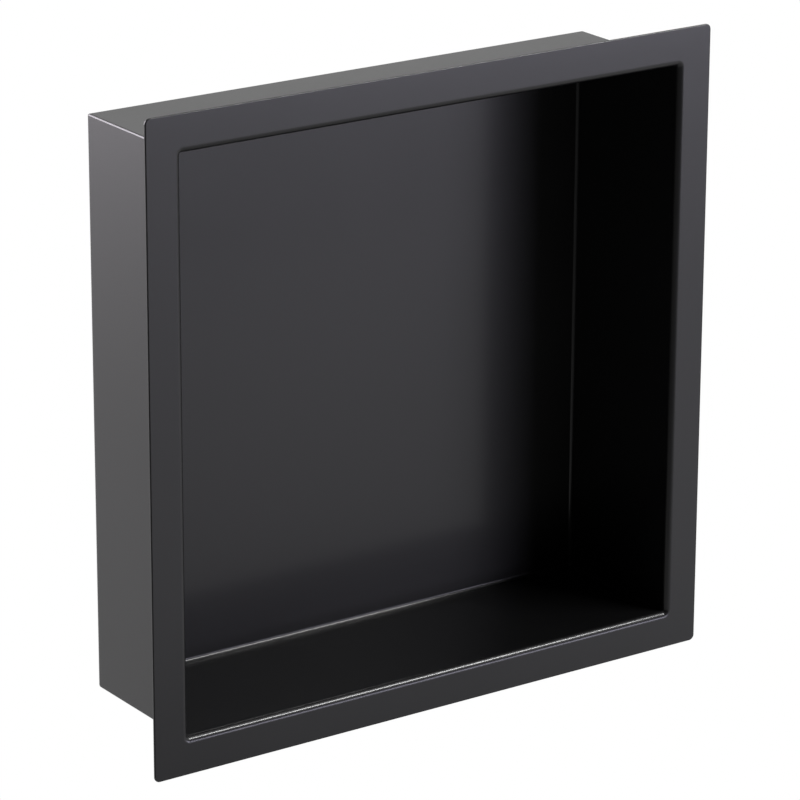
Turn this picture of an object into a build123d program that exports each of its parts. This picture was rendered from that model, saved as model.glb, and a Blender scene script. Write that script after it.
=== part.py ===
from build123d import *
import os

# Recessed wall niche: one sheet folded into an open box with a flange round its mouth.
# X is to the right, Y runs into the wall and Z is up. The origin is the middle of the opening,
# in the plane of the flange's rear face, which lies against the finished wall.

# Driving dimensions, in millimetres
opening_width = 300.0  # between the two side walls
opening_height = 300.0  # between the floor and the roof
niche_depth = 85.0  # from the flange's rear face to the outside of the back
flange_width = 20.0  # from a wall's inner face to the flange's outer edge
flange_corner = 3.0  # radius of the flange's four outer corners
sheet = 1.5  # thickness of the metal
bend_inside = 2.0  # inner radius of every fold
seam_inside = 1.0  # radius left by the weld in the four inner corners
seam_outside = 1.0  # radius that the four outer corners are ground to
edge_break = 0.6  # rounding of the flange's cut edges

# Sizes that follow from them
bend_outside = bend_inside + sheet
box_width = opening_width + 2 * sheet
box_height = opening_height + 2 * sheet
flange_span_x = opening_width + 2 * flange_width
flange_span_z = opening_height + 2 * flange_width

# Limits on the small roundings: a seam runs into the folds, and a cut edge has two sides
largest_seam_share = 0.9  # of the fold's radius
largest_break_share = 0.4  # of the sheet


def bent_channel(width, depth, length, bend_radius):
    """Prism along Z, from y = 0 to depth, whose two back edges are bends."""
    section = Pos(0, depth / 2) * Rectangle(width, depth)
    back_corners = section.vertices().group_by(Axis.Y)[-1]
    section = fillet(back_corners, bend_radius)
    return extrude(section, length / 2, both=True)


def folded_box(width, height, depth, bend_radius, seam_radius):
    """Block from y = 0 to depth, folded round its back: the folds meet in mitres at the corners.

    The seams along Y are rounded, and their rounding runs on along the mitres to the back.
    """
    side_folds = bent_channel(width, depth, height, bend_radius)
    roof_and_floor_folds = Rot(0, 90, 0) * bent_channel(height, depth, width, bend_radius)
    block = side_folds & roof_and_floor_folds
    seams = block.edges().filter_by(Axis.Y)
    return fillet(seams, min(seam_radius, largest_seam_share * bend_radius))


def level_faces(solid):
    """The faces square to Y, from the flange's front to the outside of the back."""
    return solid.faces().filter_by(Axis.Y).sort_by(Axis.Y)


def fold_the_mouth(solid):
    """Bend the walls out into the flange: two arcs about one centre, a sheet's thickness apart."""
    front_mouth = level_faces(solid)[0].inner_wires()[0].edges()
    solid = fillet(front_mouth, bend_outside)
    rear_mouth = level_faces(solid)[1].inner_wires()[0].edges()
    return fillet(rear_mouth, bend_inside)


def break_flange_edges(solid):
    """Round the flange's cut edge, front and rear."""
    radius = min(edge_break, largest_break_share * sheet)
    for side in (0, 1):
        solid = fillet(level_faces(solid)[side].outer_wire().edges(), radius)
    return solid


def niche_shell():
    flange = extrude(Plane.XZ * RectangleRounded(flange_span_x, flange_span_z, flange_corner), sheet)
    box = folded_box(box_width, box_height, niche_depth, bend_outside, seam_outside)
    cavity = folded_box(opening_width, opening_height, niche_depth, bend_inside, seam_inside)
    solid = flange + box - Pos(0, -sheet, 0) * cavity
    return break_flange_edges(fold_the_mouth(solid))


os.makedirs("parts", exist_ok=True)
export_step(niche_shell(), "parts/niche_shell.step")
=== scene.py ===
import math

import bmesh
import bpy
from mathutils import Matrix, Vector


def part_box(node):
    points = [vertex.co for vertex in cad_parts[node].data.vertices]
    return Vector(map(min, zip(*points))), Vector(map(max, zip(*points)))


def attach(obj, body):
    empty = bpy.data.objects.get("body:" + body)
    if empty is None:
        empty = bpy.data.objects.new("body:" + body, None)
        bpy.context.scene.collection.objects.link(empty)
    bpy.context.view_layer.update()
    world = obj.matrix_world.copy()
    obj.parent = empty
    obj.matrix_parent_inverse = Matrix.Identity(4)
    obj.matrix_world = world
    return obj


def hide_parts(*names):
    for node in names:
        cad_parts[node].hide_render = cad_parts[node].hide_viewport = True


# Recessed wall niche: the skin and coating of its one folded sheet, and the studio round it.
# X is to the right, Y runs into the wall and Z is up.
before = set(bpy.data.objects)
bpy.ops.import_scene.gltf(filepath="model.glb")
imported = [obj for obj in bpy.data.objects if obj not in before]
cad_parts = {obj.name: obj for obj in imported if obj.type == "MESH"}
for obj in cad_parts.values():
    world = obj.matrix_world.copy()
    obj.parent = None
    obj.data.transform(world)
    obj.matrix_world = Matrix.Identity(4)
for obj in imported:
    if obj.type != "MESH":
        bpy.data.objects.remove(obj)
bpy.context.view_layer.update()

# Sizes of the niche, in metres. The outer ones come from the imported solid.
shell_low, shell_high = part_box("niche_shell")
NICHE_MIDDLE = (shell_low + shell_high) / 2
FLANGE_HALF_X = shell_high.x
FLANGE_HALF_Z = shell_high.z
SHEET = -shell_low.y
BACK_OUTSIDE = shell_high.y
FLANGE_WIDTH = 0.020
FLANGE_CORNER = 0.003
BEND_INSIDE = 0.002
SEAM_INSIDE = 0.001
SEAM_OUTSIDE = 0.001
EDGE_BREAK = 0.0006

OPENING_HALF_X = FLANGE_HALF_X - FLANGE_WIDTH
OPENING_HALF_Z = FLANGE_HALF_Z - FLANGE_WIDTH
BEND_OUTSIDE = BEND_INSIDE + SHEET
BACK_INSIDE = BACK_OUTSIDE - SHEET

# The mesh: how finely the round stretches are divided, what is too small to keep, in metres and radians,
# and how far large faces outweigh small ones in the shading, where 50 goes by their area alone
CORNER_STEPS = 10
BEND_STEPS = 12
EDGE_STEPS = 4
SAME_POINT = 1e-6
NO_LENGTH = 1e-7
NO_ANGLE = 1e-6
FLAT_FACE_WEIGHT = 100

# The camera, as fitted to the edges in the photograph
CAMERA_PLACE = Vector((-1.1811, -1.6667, 0.6925))
CAMERA_YAW = math.radians(34.810)
CAMERA_PITCH = math.radians(-18.780)
CAMERA_ROLL = math.radians(0.245)
SENSOR_WIDTH = 36.0
IMAGE_WIDTH_PX = 800
FOCAL_LENGTH_PX = 4277.0

# The coating: two blacks and two degrees of gloss that it drifts between in slow clouds, a lacquer
# with a sharper gloss over them, and a fine peel. Lengths are in metres.
COATING_COLOURS = ((0.0036, 0.0036, 0.0038, 1), (0.0044, 0.0044, 0.0046, 1))
COATING_ROUGHNESS = (0.42, 0.44)
COATING_IOR = 1.5
BASE_SPECULAR = 0.27  # 0.5 is all that the index of refraction gives
LACQUER_WEIGHT = 0.45
LACQUER_ROUGHNESS = 0.17
CLOUD_SIZE = 0.06
CLOUD_DETAIL = 3.0
CLOUD_RANGE = (0.35, 0.65)
PEEL_SIZE = 0.0012
PEEL_DETAIL = 1.0
PEEL_HEIGHT = 0.00003
PEEL_STRENGTH = 0.5

# The floor, in metres. The levels are what the coating mirrors of it, where 1 is white: painted light in
# a lit strip, with painted shade beside the strip and close to the niche.
FLOOR_HEIGHT = -0.45
FLOOR_HALF = 6.0
FLOOR_PAINT = (0.85, 0.85, 0.85, 1)
UNDER_NICHE = Vector((0, 0, 0))
SHADOW_REACH = (0.3, 0.5)  # the camera sees paint up to the first distance, and white from the second
STRIP_TURN = math.radians(35)  # the lit strip runs from front to back, turned to the left at the back
STRIP_ACROSS = Vector((math.cos(STRIP_TURN), math.sin(STRIP_TURN), 0))
# painted light: the glow of the lit strip; beside it, painted shade at the left and right levels
PAINTED_STRIP_LEVEL = 0.75
LEFT_OF_STRIP = (-0.9, -0.35)
LEFT_LEVEL = 0.15
RIGHT_OF_STRIP = (0.35, 0.9)
RIGHT_LEVEL = 0.45
# painted shade of the niche on the floor, round this point: the level falls to the first share close by
PAINTED_SHADE_MIDDLE = Vector((0.1, -0.15, 0))
PAINTED_SHADE_REACH = (0.25, 0.8)
PAINTED_SHADE_SHARES = (0.5, 1.0)  # of the level, close to the niche and further off

# The surround: white to the camera, pale as light, and nearly dark towards the camera's side
WHITE = (1, 1, 1, 1)
WORLD_LEVEL = 0.78
DARK_LEVEL = 0.03
DARK_WAY = Vector((-0.35, -1, 0)).normalized()
DARK_WAY_RANGE = (-0.1, 0.5)

# Softboxes that face the niche. The aim is an azimuth from the front towards the right and an elevation,
# in degrees, lengths are in metres, and the brightness is in watts a square metre, over pi.
SOFTBOXES = {
    "key": dict(aim=(46, 42), distance=1.5, size=(0.6, 0.15), brightness=55.0, colour=(1, 1, 1)),
    "low": dict(aim=(34, -1.5), distance=3.0, size=(1.6, 0.7), brightness=7.8, colour=(0.93, 0.9, 1.1)),
    "rim": dict(aim=(-144, 15), distance=1.6, size=(0.8, 1.2), brightness=10.0, colour=(1, 0.94, 1.03)),
}


def quarter_turn(steps):
    """Angles from 0 to 90 degrees, both ends included."""
    return [math.pi / 2 * step / steps for step in range(steps + 1)]


def corner_normals(slope):
    """Directions round the corner between a side wall and the roof, from +X to +Z.

    With a slope they lean back towards +Y, and at 90 degrees they are all one.
    """
    side_normal = Vector((math.cos(slope), math.sin(slope), 0))
    level_normal = Vector((0, math.sin(slope), math.cos(slope)))
    spread = side_normal.angle(level_normal, 0.0)
    if spread < NO_ANGLE:
        return [side_normal] * (CORNER_STEPS + 1)
    normals = []
    for step in range(CORNER_STEPS + 1):
        share = step / CORNER_STEPS
        turn = side_normal * math.sin((1 - share) * spread) + level_normal * math.sin(share * spread)
        normals.append(turn / math.sin(spread))
    return normals


def ring(corner_x, corner_z, y, radius, slope=0.0):
    """One loop of points round the niche: four straight runs joined by arcs.

    The arcs are centred on (+-corner_x, y, +-corner_z). With a slope they lean back towards +Y, as the
    rounding of a seam does where it runs round a fold, and at 90 degrees each arc is one point.
    """
    normals = corner_normals(slope)
    points = []
    for sign_x, sign_z in ((1, 1), (-1, 1), (-1, -1), (1, -1)):
        in_order = normals if sign_x == sign_z else normals[::-1]
        for normal in in_order:
            x = sign_x * (corner_x + radius * normal.x)
            z = sign_z * (corner_z + radius * normal.z)
            points.append(Vector((x, y + radius * normal.y, z)))
    return points


def back_fold(half_x, half_z, back, bend, seam):
    """Rings from the end of the walls round the fold to the flat of the back."""
    rings = []
    for angle in quarter_turn(BEND_STEPS):
        reach = (bend - seam) * math.cos(angle)
        rise = (bend - seam) * math.sin(angle)
        rings.append(ring(half_x - bend + reach, half_z - bend + reach, back - bend + rise, seam, angle))
    return rings


def mouth_fold(radius, seam, seam_half_x, seam_half_z):
    """Rings from the walls round the fold to the flange. Both skins fold about one centre line."""
    rings = []
    for angle in quarter_turn(BEND_STEPS):
        spread = BEND_OUTSIDE - radius * math.cos(angle) - (seam_half_x - OPENING_HALF_X)
        y = BEND_INSIDE - radius * math.sin(angle)
        rings.append(ring(seam_half_x - seam, seam_half_z - seam, y, seam + spread))
    return rings


def cut_edge():
    """Rings round the flange's cut edge, from its front to its rear."""
    corner_x = FLANGE_HALF_X - FLANGE_CORNER
    corner_z = FLANGE_HALF_Z - FLANGE_CORNER
    rings = []
    for angle in quarter_turn(EDGE_STEPS):
        inset = EDGE_BREAK * (1 - math.sin(angle))
        drop = EDGE_BREAK * (1 - math.cos(angle))
        rings.append(ring(corner_x, corner_z, drop - SHEET, FLANGE_CORNER - inset))
    for angle in quarter_turn(EDGE_STEPS):
        inset = EDGE_BREAK * (1 - math.cos(angle))
        drop = EDGE_BREAK * (1 - math.sin(angle))
        rings.append(ring(corner_x, corner_z, -drop, FLANGE_CORNER - inset))
    return rings


def shell_rings():
    """Every ring of the sheet's skin: out of the cavity, over the flange and back round the outside."""
    inner_fold = back_fold(OPENING_HALF_X, OPENING_HALF_Z, BACK_INSIDE, BEND_INSIDE, SEAM_INSIDE)
    inner_mouth = mouth_fold(BEND_OUTSIDE, SEAM_INSIDE, OPENING_HALF_X, OPENING_HALF_Z)
    box_half_x = OPENING_HALF_X + SHEET
    box_half_z = OPENING_HALF_Z + SHEET
    outer_mouth = mouth_fold(BEND_INSIDE, SEAM_OUTSIDE, box_half_x, box_half_z)
    outer_fold = back_fold(box_half_x, box_half_z, BACK_OUTSIDE, BEND_OUTSIDE, SEAM_OUTSIDE)
    return inner_fold[::-1] + inner_mouth + cut_edge() + outer_mouth[::-1] + outer_fold


def make_shell():
    """The folded sheet as one closed mesh, with its flats kept flat by weighted normals."""
    mesh = bpy.data.meshes.new("niche_skin")
    skin = bmesh.new()
    loops = [[skin.verts.new(point) for point in points] for points in shell_rings()]
    for loop, following in zip(loops, loops[1:]):
        for index in range(len(loop)):
            after = (index + 1) % len(loop)
            skin.faces.new((loop[index], loop[after], following[after], following[index]))
    skin.faces.new(loops[0])
    skin.faces.new(loops[-1])
    bmesh.ops.remove_doubles(skin, verts=skin.verts, dist=SAME_POINT)
    bmesh.ops.dissolve_degenerate(skin, edges=skin.edges, dist=NO_LENGTH)
    bmesh.ops.recalc_face_normals(skin, faces=skin.faces)
    for face in skin.faces:
        face.smooth = True
    skin.to_mesh(mesh)
    skin.free()
    shell = bpy.data.objects.new("niche_skin", mesh)
    bpy.context.scene.collection.objects.link(shell)
    weighted = shell.modifiers.new("flat_faces", "WEIGHTED_NORMAL")
    weighted.mode = "FACE_AREA"
    weighted.weight = FLAT_FACE_WEIGHT
    return shell


def grain(tree, size, detail):
    """Noise through the object, whose lumps are about as large as the size given."""
    place = tree.nodes.new("ShaderNodeTexCoord").outputs["Object"]
    noise = tree.nodes.new("ShaderNodeTexNoise")
    noise.inputs["Scale"].default_value = 1 / size
    noise.inputs["Detail"].default_value = detail
    tree.links.new(place, noise.inputs["Vector"])
    return noise.outputs["Fac"]


def combine(tree, operation, first, second):
    """A math node on two other nodes' outputs."""
    node = tree.nodes.new("ShaderNodeMath")
    node.operation = operation
    tree.links.new(first, node.inputs[0])
    tree.links.new(second, node.inputs[1])
    return node.outputs["Value"]


def measure(tree, operation, vector, other):
    """A number from two vectors: the distance between them or their dot product."""
    node = tree.nodes.new("ShaderNodeVectorMath")
    node.operation = operation
    tree.links.new(vector, node.inputs[0])
    node.inputs[1].default_value = other
    return node.outputs["Value"]


def fade(tree, value, between, levels):
    """Eases from one level to another while a value passes from one end of a range to the other."""
    node = tree.nodes.new("ShaderNodeMapRange")
    node.interpolation_type = "SMOOTHSTEP"
    node.inputs["From Min"].default_value = between[0]
    node.inputs["From Max"].default_value = between[1]
    node.inputs["To Min"].default_value = levels[0]
    node.inputs["To Max"].default_value = levels[1]
    tree.links.new(value, node.inputs["Value"])
    return node.outputs["Result"]


def black_coating():
    """Satin black with nearly no colour of its own: clouds in its gloss, a fine peel, lacquer on top."""
    material = bpy.data.materials.new("black_coating")
    material.use_nodes = True
    tree = material.node_tree
    shader = tree.nodes["Principled BSDF"]
    shader.inputs["IOR"].default_value = COATING_IOR
    shader.inputs["Specular IOR Level"].default_value = BASE_SPECULAR
    shader.inputs["Coat Weight"].default_value = LACQUER_WEIGHT
    shader.inputs["Coat Roughness"].default_value = LACQUER_ROUGHNESS
    shader.inputs["Coat IOR"].default_value = COATING_IOR
    clouds = grain(tree, CLOUD_SIZE, CLOUD_DETAIL)
    tree.links.new(fade(tree, clouds, CLOUD_RANGE, COATING_ROUGHNESS), shader.inputs["Roughness"])
    tones = tree.nodes.new("ShaderNodeValToRGB")
    for stop, place, colour in zip(tones.color_ramp.elements, CLOUD_RANGE, COATING_COLOURS):
        stop.position = place
        stop.color = colour
    tree.links.new(clouds, tones.inputs["Fac"])
    tree.links.new(tones.outputs["Color"], shader.inputs["Base Color"])
    peel = tree.nodes.new("ShaderNodeBump")
    peel.inputs["Strength"].default_value = PEEL_STRENGTH
    peel.inputs["Distance"].default_value = PEEL_HEIGHT
    tree.links.new(grain(tree, PEEL_SIZE, PEEL_DETAIL), peel.inputs["Height"])
    tree.links.new(peel.outputs["Normal"], shader.inputs["Normal"])
    return material


def painted_floor_glow(tree, place):
    """How bright the mirrored floor glows: a painted lit strip, with painted shade on both sides of it
    and close to the niche.
    """
    across = measure(tree, "DOT_PRODUCT", place, STRIP_ACROSS)
    left = fade(tree, across, LEFT_OF_STRIP, (LEFT_LEVEL, PAINTED_STRIP_LEVEL))
    right = fade(tree, across, RIGHT_OF_STRIP, (PAINTED_STRIP_LEVEL, RIGHT_LEVEL))
    strip = combine(tree, "MINIMUM", left, right)
    distance = measure(tree, "DISTANCE", place, PAINTED_SHADE_MIDDLE)
    return combine(tree, "MULTIPLY", strip, fade(tree, distance, PAINTED_SHADE_REACH, PAINTED_SHADE_SHARES))


def floor_material():
    """To the camera, pale paint that keeps the niche's shadow near by, and white further off.

    Where it is mirrored, or seen through glass, it glows at its own levels, which are painted light and
    shade.
    """
    material = bpy.data.materials.new("pale_floor")
    material.use_nodes = True
    tree = material.node_tree
    tree.nodes.clear()
    place = tree.nodes.new("ShaderNodeTexCoord").outputs["Object"]
    path = tree.nodes.new("ShaderNodeLightPath").outputs
    paint = tree.nodes.new("ShaderNodeBsdfDiffuse")
    paint.inputs["Color"].default_value = FLOOR_PAINT
    glow = tree.nodes.new("ShaderNodeEmission")
    # the glow's strength is painted light and shade of the floor where it is mirrored; to the camera it
    # is plain white
    brightness = combine(tree, "MAXIMUM", path["Is Camera Ray"], painted_floor_glow(tree, place))
    tree.links.new(brightness, glow.inputs["Strength"])
    far = fade(tree, measure(tree, "DISTANCE", place, UNDER_NICHE), SHADOW_REACH, (0.0, 1.0))
    seen = combine(tree, "MULTIPLY", path["Is Camera Ray"], far)
    mirrored = combine(tree, "MAXIMUM", path["Is Glossy Ray"], path["Is Transmission Ray"])
    mix = tree.nodes.new("ShaderNodeMixShader")
    tree.links.new(combine(tree, "MAXIMUM", seen, mirrored), mix.inputs["Fac"])
    tree.links.new(paint.outputs["BSDF"], mix.inputs[1])
    tree.links.new(glow.outputs["Emission"], mix.inputs[2])
    output = tree.nodes.new("ShaderNodeOutputMaterial")
    tree.links.new(mix.outputs["Shader"], output.inputs["Surface"])
    return material


def make_floor():
    """One large square under the niche."""
    mesh = bpy.data.meshes.new("floor")
    reach = FLOOR_HALF
    corners = [(-reach, -reach, 0), (reach, -reach, 0), (reach, reach, 0), (-reach, reach, 0)]
    mesh.from_pydata(corners, [], [(0, 1, 2, 3)])
    mesh.materials.append(floor_material())
    floor = bpy.data.objects.new("floor", mesh)
    floor.location.z = FLOOR_HEIGHT
    bpy.context.scene.collection.objects.link(floor)


def make_world():
    """White all round for the camera. As light it is pale, and nearly dark on the camera's side."""
    world = bpy.data.worlds.new("studio")
    world.use_nodes = True
    tree = world.node_tree
    way = tree.nodes.new("ShaderNodeTexCoord").outputs["Generated"]
    path = tree.nodes.new("ShaderNodeLightPath").outputs
    towards_dark = measure(tree, "DOT_PRODUCT", way, DARK_WAY)
    level = fade(tree, towards_dark, DARK_WAY_RANGE, (WORLD_LEVEL, DARK_LEVEL))
    background = tree.nodes["Background"]
    background.inputs["Color"].default_value = WHITE
    tree.links.new(combine(tree, "MAXIMUM", level, path["Is Camera Ray"]), background.inputs["Strength"])
    bpy.context.scene.world = world


def make_softbox(name, aim, distance, size, brightness, colour):
    """A lit panel that faces the niche. The camera doesn't see it, but the coating mirrors it."""
    azimuth, elevation = (math.radians(angle) for angle in aim)
    level_reach = math.cos(elevation)
    way = Vector((math.sin(azimuth) * level_reach, -math.cos(azimuth) * level_reach, math.sin(elevation)))
    width, height = size
    data = bpy.data.lights.new(name, "AREA")
    data.shape = "RECTANGLE"
    data.size = width
    data.size_y = height
    data.color = colour
    data.energy = math.pi * width * height * brightness
    softbox = bpy.data.objects.new(name, data)
    softbox.location = NICHE_MIDDLE + distance * way
    softbox.rotation_mode = "QUATERNION"
    softbox.rotation_quaternion = way.to_track_quat("Z", "Y")
    softbox.visible_camera = False
    bpy.context.scene.collection.objects.link(softbox)


def make_camera():
    """Camera at the photograph's viewing angle: turned by its yaw, tipped by its pitch, then rolled."""
    level_reach = math.cos(CAMERA_PITCH)
    forward = Vector(
        (math.sin(CAMERA_YAW) * level_reach, math.cos(CAMERA_YAW) * level_reach, math.sin(CAMERA_PITCH))
    )
    level = Vector((math.cos(CAMERA_YAW), -math.sin(CAMERA_YAW), 0))
    upright = level.cross(forward)
    right = level * math.cos(CAMERA_ROLL) + upright * math.sin(CAMERA_ROLL)
    up = upright * math.cos(CAMERA_ROLL) - level * math.sin(CAMERA_ROLL)
    data = bpy.data.cameras.new("camera")
    data.sensor_width = SENSOR_WIDTH
    data.lens = FOCAL_LENGTH_PX / IMAGE_WIDTH_PX * SENSOR_WIDTH
    camera = bpy.data.objects.new("camera", data)
    axes = Matrix((right, up, -forward)).transposed().to_4x4()
    camera.matrix_world = Matrix.Translation(CAMERA_PLACE) @ axes
    bpy.context.scene.collection.objects.link(camera)
    bpy.context.scene.camera = camera


shell = make_shell()
shell.data.materials.append(black_coating())
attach(shell, "root")
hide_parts("niche_shell")

make_floor()
make_world()
for softbox_name, softbox in SOFTBOXES.items():
    make_softbox(softbox_name, **softbox)
make_camera()
bpy.context.scene.view_settings.view_transform = "Standard"
